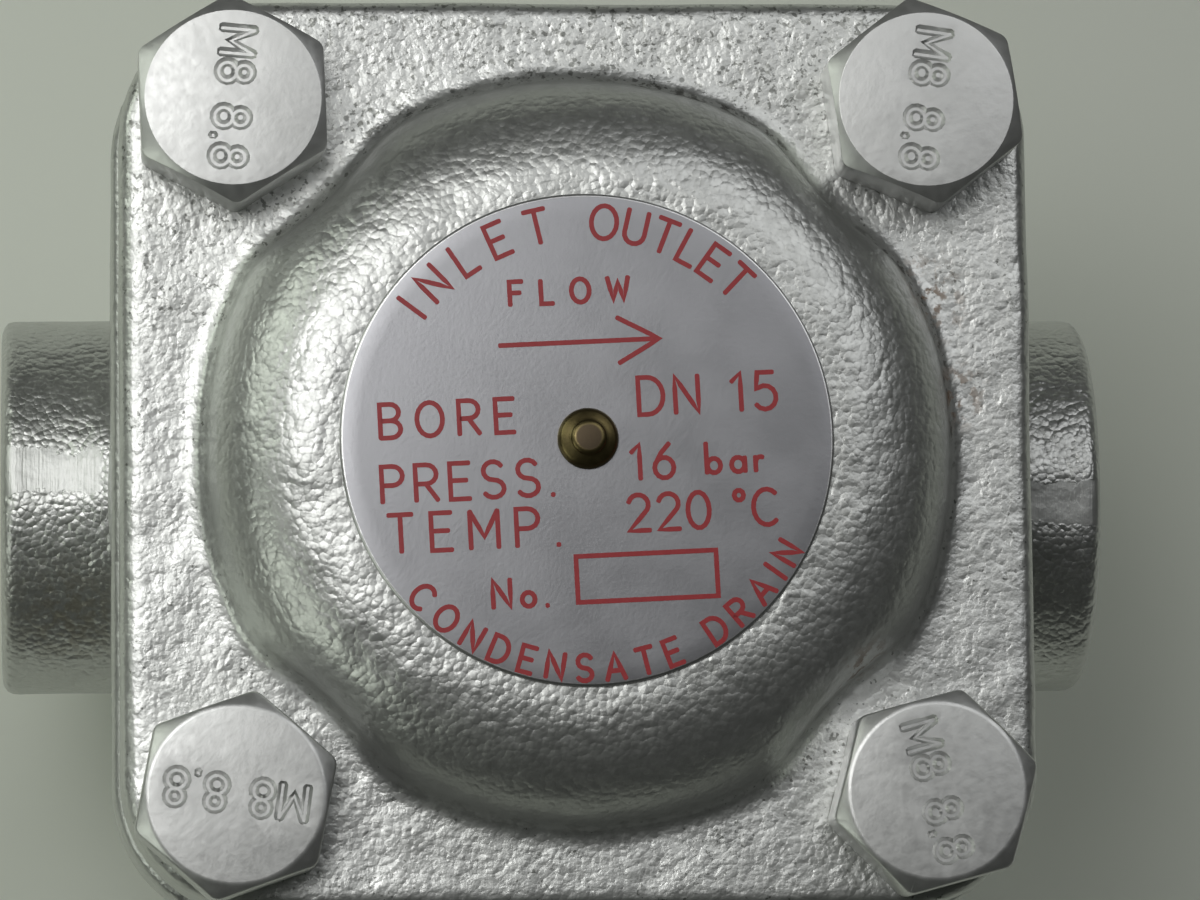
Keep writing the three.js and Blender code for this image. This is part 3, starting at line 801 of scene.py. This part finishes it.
def make_thread(name, side):
    """A turned sleeve with the socket's internal thread inside it."""
    sides, per_turn = 72, 12
    length = SOCKET_DEPTH - 0.8
    outer = SOCKET_CREST_R + THREAD_DEPTH + 0.35
    rows = int(length / THREAD_PITCH * per_turn)
    points, grid = [], []

    def add_ring(along, radii):
        grid.append(range(len(points), len(points) + sides))
        x = side * (port_end - THREAD_START - along)
        for i, r in enumerate(radii):
            a = 2 * math.pi * i / sides
            points.append((x, r * math.cos(a), port_axis + r * math.sin(a)))

    for row in range(rows + 1):
        along = length * row / rows
        lead_in = 0.02 if row == 0 else 0.0
        add_ring(along, [thread_radius(along, i / sides, length) + lead_in for i in range(sides)])
    for along in (length, 0.0):
        add_ring(along, [outer] * sides)
    faces = []
    for lower, upper in zip(grid, grid[1:] + grid[:1]):
        for i in range(sides):
            j = (i + 1) % sides
            faces.append((lower[i], lower[j], upper[j], upper[i]))
    return keep(closed_object(name, points, faces, bare_iron, 40), "cast_paint")


# ---- generic lettering, drawn as single strokes in a box one unit high ----
def bowl(cx, cy, rx, ry):
    """The round right-hand side of letters such as B and P."""
    return arc(cx, cy, rx, ry, 90, -90, 8)


P_STROKE = [(0, 0), (0, 1)] + bowl(0.30, 0.735, 0.28, 0.265) + [(0, 0.47)]

# Each letter's width, and its strokes.
GLYPHS = {
    "A": (0.72, [[(0, 0), (0.36, 1), (0.72, 0)], [(0.13, 0.34), (0.59, 0.34)]]),
    "B": (0.60, [
        [(0, 0), (0, 1)] + bowl(0.30, 0.755, 0.26, 0.245) + [(0, 0.51)],
        [(0, 0.51)] + bowl(0.31, 0.255, 0.29, 0.255) + [(0, 0)],
    ]),
    "C": (0.70, [arc(0.40, 0.5, 0.38, 0.5, 48, 312, 14)]),
    "D": (0.66, [[(0, 0), (0, 1)] + arc(0.24, 0.5, 0.42, 0.5, 90, -90, 12) + [(0, 0)]]),
    "E": (0.54, [[(0.54, 0), (0, 0), (0, 1), (0.54, 1)], [(0, 0.52), (0.46, 0.52)]]),
    "F": (0.54, [[(0, 0), (0, 1), (0.54, 1)], [(0, 0.52), (0.44, 0.52)]]),
    "I": (0.04, [[(0.02, 0), (0.02, 1)]]),
    "L": (0.50, [[(0, 1), (0, 0), (0.5, 0)]]),
    "M": (0.74, [[(0, 0), (0, 1)], [(0, 1), (0.37, 0.3), (0.74, 1)], [(0.74, 1), (0.74, 0)]]),
    "N": (0.62, [[(0, 0), (0, 1), (0.62, 0), (0.62, 1)]]),
    "O": (0.76, [arc(0.38, 0.5, 0.38, 0.5, 0, 360, 20)]),
    "P": (0.58, [P_STROKE]),
    "R": (0.60, [P_STROKE, [(0.28, 0.47), (0.6, 0)]]),
    "S": (0.60, [
        arc(0.30, 0.745, 0.27, 0.255, 30, 270, 10) + arc(0.30, 0.245, 0.29, 0.245, 90, -150, 10)[1:],
    ]),
    "T": (0.64, [[(0, 1), (0.64, 1)], [(0.32, 1), (0.32, 0)]]),
    "U": (0.60, [[(0, 1)] + arc(0.3, 0.3, 0.3, 0.3, 180, 360, 8) + [(0.6, 1)]]),
    "W": (0.88, [[(0, 1), (0.22, 0), (0.44, 0.85), (0.66, 0), (0.88, 1)]]),
    "a": (0.46, [arc(0.23, 0.24, 0.22, 0.24, 0, 360, 14), [(0.46, 0.48), (0.46, 0)]]),
    "b": (0.46, [arc(0.24, 0.24, 0.22, 0.24, 0, 360, 14), [(0, 1), (0, 0)]]),
    "r": (0.28, [[(0, 0), (0, 0.48)], [(0, 0.28)] + arc(0.17, 0.30, 0.16, 0.17, 150, 60, 4)]),
    "o": (0.46, [arc(0.23, 0.25, 0.23, 0.25, 0, 360, 14)]),
    "0": (0.60, [arc(0.30, 0.5, 0.30, 0.5, 0, 360, 18)]),
    "1": (0.30, [[(0.02, 0.78), (0.26, 1), (0.26, 0)]]),
    "2": (0.60, [arc(0.30, 0.72, 0.28, 0.28, 165, -32, 9) + [(0.02, 0), (0.60, 0)]]),
    "5": (0.58, [[(0.52, 1), (0.10, 1), (0.05, 0.56)] + arc(0.28, 0.32, 0.30, 0.32, 122, -145, 10)]),
    "6": (0.58, [arc(0.29, 0.30, 0.28, 0.30, 0, 360, 14), [(0.46, 1), (0.22, 0.74), (0.04, 0.42)]]),
    "8": (0.58, [arc(0.29, 0.27, 0.28, 0.27, 0, 360, 14), arc(0.29, 0.77, 0.23, 0.23, 0, 360, 14)]),
    ".": (0.06, [[(0.0, 0.0), (0.05, 0.0)]]),
    "*": (0.26, [arc(0.13, 0.86, 0.13, 0.14, 0, 360, 10)]),  # degree sign
    " ": (0.24, []),
}


def text_width(text, height, gap):
    """Length of a line of text."""
    return sum(GLYPHS[c][0] * height + gap for c in text) - gap


def line_of_text(text, x, y, height, gap):
    """Strokes of a straight line of text, starting at x on the baseline y."""
    strokes = []
    for c in text:
        width, shapes = GLYPHS[c]
        strokes += [[(x + px * height, y + py * height) for px, py in shape] for shape in shapes]
        x += width * height + gap
    return strokes


def arc_of_text(text, radius, middle_deg, height, gap, inward=False):
    """Strokes of text bent round the origin: tops point outwards, or inwards along the bottom."""
    strokes = []
    travelled = -text_width(text, height, gap) / 2
    for c in text:
        width, shapes = GLYPHS[c]
        centre = travelled + width * height / 2
        up = -1 if inward else 1
        turn = math.radians(middle_deg) - up * centre / radius
        ux, uy = up * math.cos(turn), up * math.sin(turn)
        rx, ry = uy, -ux
        ox, oy = radius * math.cos(turn), radius * math.sin(turn)
        for shape in shapes:
            moved = []
            for px, py in shape:
                a, b = (px - width / 2) * height, (py - 0.5) * height
                moved.append((ox + a * rx + b * ux, oy + a * ry + b * uy))
            strokes.append(moved)
        travelled += width * height + gap
    return strokes


def across(direction):
    """The direction turned a quarter turn to the left."""
    return np.array([-direction[1], direction[0]])


def stroke_end(tip, inner, size):
    """Left and right corners of a stroke's square end, a little beyond its tip."""
    out = (tip - inner) / np.linalg.norm(tip - inner) * size
    return tip + out + across(out), tip + out - across(out)


def stroke_outline(path, half_width):
    """Left and right sides of a stroke with mitred bends, and whether it closes on itself."""
    points = np.array(path, float)
    closed = len(points) > 3 and np.allclose(points[0], points[-1])
    if closed:
        points = points[:-1]
    count = len(points)
    lefts, rights = [], []
    for i in range(count):
        before = points[i] - points[i - 1] if i or closed else points[1] - points[0]
        after = points[(i + 1) % count] - points[i] if i < count - 1 or closed else before
        d0, d1 = before / np.linalg.norm(before), after / np.linalg.norm(after)
        normal = across(d0 + d1)
        size = np.linalg.norm(normal)
        normal = across(d0) if size < 0.3 else normal / size
        stretch = min(1 / max(normal @ across(d0), 0.35), 1.35)  # blunts sharp mitres
        lefts.append(points[i] + normal * half_width * stretch)
        rights.append(points[i] - normal * half_width * stretch)
    if not closed:
        first = stroke_end(points[0], points[1], half_width * 0.6)
        last = stroke_end(points[-1], points[-2], half_width * 0.6)
        lefts = [first[1]] + lefts + [last[0]]
        rights = [first[0]] + rights + [last[1]]
    return lefts, rights, closed


def strokes_mesh(name, strokes, half_width, bottom, top, material, matrix=None, foot=None):
    """Strokes as closed ribbons; foot is half their width at the bottom, where that differs."""
    points, faces = [], []
    for order, path in enumerate(strokes):
        lefts, rights, closed = stroke_outline(path, half_width)
        low_lefts, low_rights, _ = stroke_outline(path, foot or half_width)
        lift = (order % 3) * 0.002  # so that strokes which cross don't share a face
        start = len(points)
        for left, right, low_left, low_right in zip(lefts, rights, low_lefts, low_rights):
            points += [(*low_left, bottom), (*low_right, bottom), (*right, top + lift), (*left, top + lift)]
        count = len(lefts)
        for i in range(count if closed else count - 1):
            a, b = start + 4 * i, start + 4 * ((i + 1) % count)
            for k in range(4):
                m = (k + 1) % 4
                faces.append((a + k, a + m, b + m, b + k))
        if not closed:
            end = start + 4 * (count - 1)
            faces.append((start + 3, start + 2, start + 1, start))
            faces.append((end, end + 1, end + 2, end + 3))
    if matrix is not None:
        points = [tuple(matrix @ Vector(p)) for p in points]
    return closed_object(name, points, faces, material, 30)


# ---- hardware ----
def corner_radius(flats):
    """Half the width across a hexagon's corners."""
    return flats / 2 / math.cos(math.pi / 6)


def hexagon(name, flats, bottom, top, turn_deg, material):
    """A plain hexagonal prism."""
    corner = corner_radius(flats)
    points = []
    for z in (bottom, top):
        for i in range(6):
            a = math.radians(turn_deg - 90 + 60 * i)
            points.append((corner * math.cos(a), corner * math.sin(a), z))
    faces = [tuple(range(5, -1, -1)), tuple(range(6, 12))]
    faces += [(i, (i + 1) % 6, 6 + (i + 1) % 6, 6 + i) for i in range(6)]
    return new_object(name, points, faces, material)


def rounded_edges(obj, width, segments=2, upright_only=False):
    """Rounds an object's sharp edges, or only those along Z."""
    bevel = obj.modifiers.new("soften", "BEVEL")
    bevel.width = width * MM
    bevel.segments = segments
    bevel.limit_method = "WEIGHT" if upright_only else "ANGLE"
    bevel.angle_limit = math.radians(24)
    if upright_only:
        weights = obj.data.attributes.new("bevel_weight_edge", "FLOAT", "EDGE")
        for edge in obj.data.edges:
            a, b = (obj.data.vertices[k].co for k in edge.vertices)
            weights.data[edge.index].value = float(abs(a.z - b.z) > MM)
    bevel.use_clamp_overlap = True
    apply_modifiers(obj)


def make_bolt(number, centre, turn_deg, mark_turn_deg):
    """A chamfered M8 head with a stamped strength grade, over a plain shank."""
    corner = corner_radius(BOLT_FLATS)
    drop = (corner - BOLT_FACE_R) * CHAMFER_SLOPE
    head = hexagon(f"bolt_{number}", BOLT_FLATS, 0, HEAD_HEIGHT, turn_deg, smooth_paint)
    rounded_edges(head, 0.45, 4, upright_only=True)
    envelope = turned("envelope", [
        (0, -1), (corner + 1, -1), (corner + 1, HEAD_HEIGHT - drop - CHAMFER_SLOPE),
        (BOLT_FACE_R, HEAD_HEIGHT), (0, HEAD_HEIGHT),
    ], smooth_paint, 72)
    cut(head, [envelope], "INTERSECT")
    rounded_edges(head, 0.4, 3)
    tip = bolts[number - 1][0][2] - flange_top
    shank = turned("shank", [
        (0, tip), (BOLT_SHANK_R - 1, tip), (BOLT_SHANK_R, tip + 1), (BOLT_SHANK_R, 0.6), (0, 0.6),
    ], smooth_paint, 48)
    cut(head, [shank], "UNION")
    mark = "M8 8.8"
    left = -text_width(mark, MARK_HEIGHT, MARK_GAP) / 2
    turn = Matrix.Rotation(math.radians(mark_turn_deg), 4, "Z")
    floor, above = HEAD_HEIGHT - MARK_DEPTH, HEAD_HEIGHT + 0.04
    tools = [
        strokes_mesh("stamp", [path], MARK_HALF, floor, above, smooth_paint, turn, MARK_FLOOR_HALF)
        for path in line_of_text(mark, left, -MARK_HEIGHT / 2, MARK_HEIGHT, MARK_GAP)
    ]
    cut(head, tools)
    head.data.transform(Matrix.Translation(Vector((*centre, flange_top)) * MM))
    shade(head, 32)
    return keep(head, "painted_steel", f"cover_bolt_{number}")


def make_plug():
    """Strainer plug: chamfered hexagon, round collar, and the hollow stem that holds the screen."""
    bottom, top = plug_low[2], plug_high[2]
    collar_low, collar_high = washer_low[2] - PLUG_COLLAR_HEIGHT, washer_low[2]
    corner = corner_radius(PLUG_FLATS)
    drop = (corner - PLUG_FACE_R) * CHAMFER_SLOPE
    head = hexagon("strainer_plug_detail", PLUG_FLATS, bottom, collar_low + 0.5, 0, smooth_paint)
    envelope = turned("envelope", [
        (0, bottom), (PLUG_FACE_R, bottom), (corner + 1, bottom + drop + CHAMFER_SLOPE),
        (corner + 1, collar_low + 5), (0, collar_low + 5),
    ], smooth_paint, 96)
    cut(head, [envelope], "INTERSECT")
    rounded_edges(head, 0.3)
    relief_top = collar_high + 1.2
    stem = [
        (0, collar_low), (PLUG_COLLAR_R - 0.4, collar_low), (PLUG_COLLAR_R, collar_low + 0.4),
        (PLUG_COLLAR_R, collar_high - 0.3), (PLUG_COLLAR_R - 0.3, collar_high),
        (PLUG_STEM_R, collar_high), (PLUG_STEM_R, relief_top),
    ]
    ridges = int((top - collar_high - 2) / PLUG_PITCH)
    for i in range(ridges):
        z = relief_top + PLUG_PITCH * i
        stem += [(PLUG_CREST_R, z + 0.55), (PLUG_CREST_R, z + 0.75), (PLUG_ROOT_R, z + 1.35)]
    stem += [(PLUG_ROOT_R, top), (PLUG_HOLLOW_R, top), (PLUG_HOLLOW_R, screen_foot), (0, screen_foot)]
    cut(head, [turned("stem", stem, smooth_paint, 96)], "UNION")
    shade(head, 32)
    return keep(head, "painted_steel", "strainer_plug")


def make_plug_washer():
    """Copper washer with rounded edges."""
    low, high = washer_low[2], washer_high[2]
    outer = washer_high[0]
    washer = turned("plug_washer", [
        (WASHER_IN_R, low + 0.15), (WASHER_IN_R + 0.15, low), (outer - 0.3, low), (outer, low + 0.3),
        (outer, high - 0.3), (outer - 0.3, high), (WASHER_IN_R + 0.15, high), (WASHER_IN_R, high - 0.15),
    ], copper, 96, closed=True)
    return keep(washer, "copper", "plug_gasket")


def plate_drop(r):
    """How far the plate's face lies below its centre at radius r."""
    return PLATE_CROWN * (r / plate_high[0]) ** 2


def make_nameplate():
    """Slightly crowned round plate with a rounded edge painted bright as a highlight, and a hole for its
    pin.
    """
    low, high, radius = plate_low[2], plate_high[2], plate_high[0]
    edge = PLATE_EDGE_R
    rounding = arc(radius - edge, high - PLATE_CROWN - edge + 0.01, edge, edge, 0, 90, 5)
    face = [(r, high - plate_drop(r)) for r in np.linspace(radius - edge, PLATE_HOLE_R, 14)[1:]]
    profile = [(PLATE_HOLE_R, low), (radius - 0.05, low), (radius, low + 0.05)] + rounding + face
    plate = turned("nameplate_disc", profile, plate_face, 160, closed=True, sharp_deg=50)
    # The rounded edge takes a brighter material: a painted highlight.
    plate.data.materials.append(plate_rim_highlight)
    for polygon in plate.data.polygons:
        if math.hypot(*polygon.center[:2]) / MM > radius - edge:
            polygon.material_index = 1
    return keep(plate, "plate_aluminium", "nameplate")


def in_short_steps(path):
    """The same stroke with a point at least every millimetre, so that it can follow the plate's curve."""
    dense = [path[0]]
    for (x0, y0), (x1, y1) in zip(path, path[1:]):
        count = max(1, math.ceil(math.hypot(x1 - x0, y1 - y0)))
        for k in range(1, count + 1):
            dense.append((x0 + (x1 - x0) * k / count, y0 + (y1 - y0) * k / count))
    return dense


def make_print():
    """Red print on the plate: ratings, a flow arrow and generic words."""
    strokes = arc_of_text("INLET", 15.3, 119.0, 2.35, 1.5)
    strokes += arc_of_text("OUTLET", 15.3, 63.5, 2.35, 0.66)
    strokes += line_of_text("FLOW", -4.9, 9.6, 1.65, 1.3)
    strokes += [[(-5.8, 6.8), (5.2, 6.8)], [(2.5, 8.4), (5.4, 6.8), (2.5, 5.2)]]
    strokes += line_of_text("BORE", -14.4, 0.7, 2.35, 1.15)
    strokes += line_of_text("DN 15", 3.7, 1.5, 2.6, 0.85)
    strokes += line_of_text("PRESS.", -14.5, -3.8, 2.5, 0.9)
    strokes += line_of_text("16", 2.9, -3.0, 2.4, 0.9) + line_of_text("bar", 8.2, -2.8, 2.1, 0.75)
    strokes += line_of_text("TEMP.", -14.2, -7.3, 2.6, 1.3)
    strokes += line_of_text("220 *C", 2.5, -6.6, 2.5, 0.6)
    strokes += line_of_text("No.", -7.2, -11.5, 1.95, 0.8)
    strokes += [[(-1.3, -11.4), (8.5, -11.4), (8.5, -8.2), (-1.3, -8.2), (-1.3, -11.4)]]
    strokes += arc_of_text("CONDENSATE DRAIN", 16.0, -86.0, 1.8, 0.95, inward=True)
    strokes = [in_short_steps(path) for path in strokes]
    turn = Matrix.Rotation(math.radians(PLATE_TURN), 4, "Z")
    top = plate_high[2] + INK_THICKNESS
    print_piece = strokes_mesh("plate_print", strokes, RED_STROKE, top - 0.06, top, ink, turn)
    for vertex in print_piece.data.vertices:
        vertex.co.z -= plate_drop(math.hypot(vertex.co.x, vertex.co.y) / MM) * MM
    return keep(print_piece, "plate_aluminium")


def make_pin():
    """Plate pin: a dished ring round a flat drive pin."""
    top = pin_high[2]
    low = plate_high[2]
    profile = [(0, pin_low[2]), (PIN_SHANK_R, pin_low[2]), (PIN_SHANK_R, low), (PIN_RING_R, low)]
    profile += arc(1.55, low, 0.60, (top - low) * 0.62, 0, 62, 6)
    profile += [(1.45, low + (top - low) * 0.66), (1.25, low + (top - low) * 0.76)]
    profile += [(1.22, top - 0.16), (1.12, top - 0.05), (0.86, top), (0, top)]
    pin = turned("plate_pin", profile, brass, 64, sharp_deg=40)
    return keep(pin, "pin_brass", "nameplate_pin")


# ---- the pieces ----
make_cover(0.4)
make_body(0.55)
make_thread("inlet_thread", -1)
make_thread("outlet_thread", 1)
for index, centre in enumerate(bolt_centres):
    make_bolt(index + 1, centre, BOLT_TURNS[index], MARK_TURNS[index])
make_nameplate()
make_print()
make_pin()
make_plug()
make_plug_washer()

# The other CAD nodes stay as they are and only take a finish.
cad_finishes = {
    gasket_sheet: "cover_gasket seat_gasket_inner seat_gasket_outer",
    stainless: "valve_seat valve_disc inner_cap strainer_screen screen_top_ring screen_bottom_ring",
    bimetal: "bimetal_ring",
}
for finish, nodes in cad_finishes.items():
    for node in nodes.split():
        for slot in frame["nodes"][node].material_slots:
            slot.material = finish


# ---- floor, light and camera ----
def make_floor():
    """A plain pale floor just under the plug."""
    n = Nodes("pale_floor")
    base = n.mix(n.noise(60), (0.84, 0.88, 0.78, 1), (0.88, 0.91, 0.82, 1))
    n.finish(base, 0.0, 0.7, n.bump(n.noise(1.5), 0.02))
    bpy.ops.mesh.primitive_plane_add(size=3.0, location=(0, 0, plug_low[2] * MM - 0.0002))
    floor = bpy.context.object
    floor.name = "floor"
    floor.data.materials.append(n.material)


def add_light(name, place_m, size_m, power, color, aim_m=(0, 0, flange_top * MM)):
    """A softbox aimed at the trap's cover, or at the point given."""
    light = bpy.data.lights.new(name, "AREA")
    light.shape = "RECTANGLE"
    light.size, light.size_y = size_m
    light.energy = power
    light.color = color
    lamp = bpy.data.objects.new(name, light)
    lamp.location = place_m
    aim = Vector(aim_m) - Vector(place_m)
    lamp.rotation_euler = aim.to_track_quat("-Z", "Y").to_euler()
    bpy.context.scene.collection.objects.link(lamp)


def set_world(color, strength):
    """A faint even light from all round."""
    world = bpy.data.worlds.new("studio")
    world.use_nodes = True
    background = world.node_tree.nodes["Background"]
    background.inputs["Color"].default_value = (*color, 1)
    background.inputs["Strength"].default_value = strength
    bpy.context.scene.world = world


# The camera looks down at the cover from a long way off, a few degrees off the valve axis.
CAMERA_TILT = -0.1135  # about X, radians
CAMERA_LEAN = 0.0811  # about Y
CAMERA_ROLL = 0.0105  # about the line of sight
CAMERA_DISTANCE = 475.15  # from the middle of the cover flange's top, mm
CAMERA_SHIFT = (-1.4933, -0.1349)  # of that middle in the view, mm
SENSOR_WIDTH = 36  # mm
LENS = 201.2184  # mm


def make_camera():
    """A long lens looking down at the cover."""
    roll = Matrix.Rotation(CAMERA_ROLL, 3, "Z")
    tilt = Matrix.Rotation(CAMERA_TILT, 3, "X")
    lean = Matrix.Rotation(CAMERA_LEAN, 3, "Y")
    back = (roll @ tilt @ lean).transposed()
    offset = back @ Vector((-CAMERA_SHIFT[0], -CAMERA_SHIFT[1], CAMERA_DISTANCE))
    data = bpy.data.cameras.new("camera")
    data.sensor_width = SENSOR_WIDTH
    data.lens = LENS
    data.clip_start = 0.01
    camera = bpy.data.objects.new("camera", data)
    camera.matrix_world = Matrix.Translation((offset + Vector((0, 0, flange_top))) * MM) @ back.to_4x4()
    bpy.context.scene.collection.objects.link(camera)
    bpy.context.scene.camera = camera


make_floor()
add_light("key_box", (-0.182, 0.138, 0.625), (0.28, 0.28), 0.98, (1.0, 1.0, 0.99))
add_light("right_box", (0.26, 0.26, 0.55), (0.36, 0.36), 0.52, (0.98, 0.99, 1.0))
for side, power in ((-1, 0.083), (1, 0.107)):
    place, aim = (-0.24, 0.12 * side, 0.20), (-0.06, 0.036 * side, 0)
    add_light("left_box", place, (0.14, 0.14), power, (0.93, 1.0, 0.88), aim)
set_world((0.80, 0.86, 0.78), 0.02)
make_camera()
bpy.context.scene.view_settings.view_transform = "Standard"
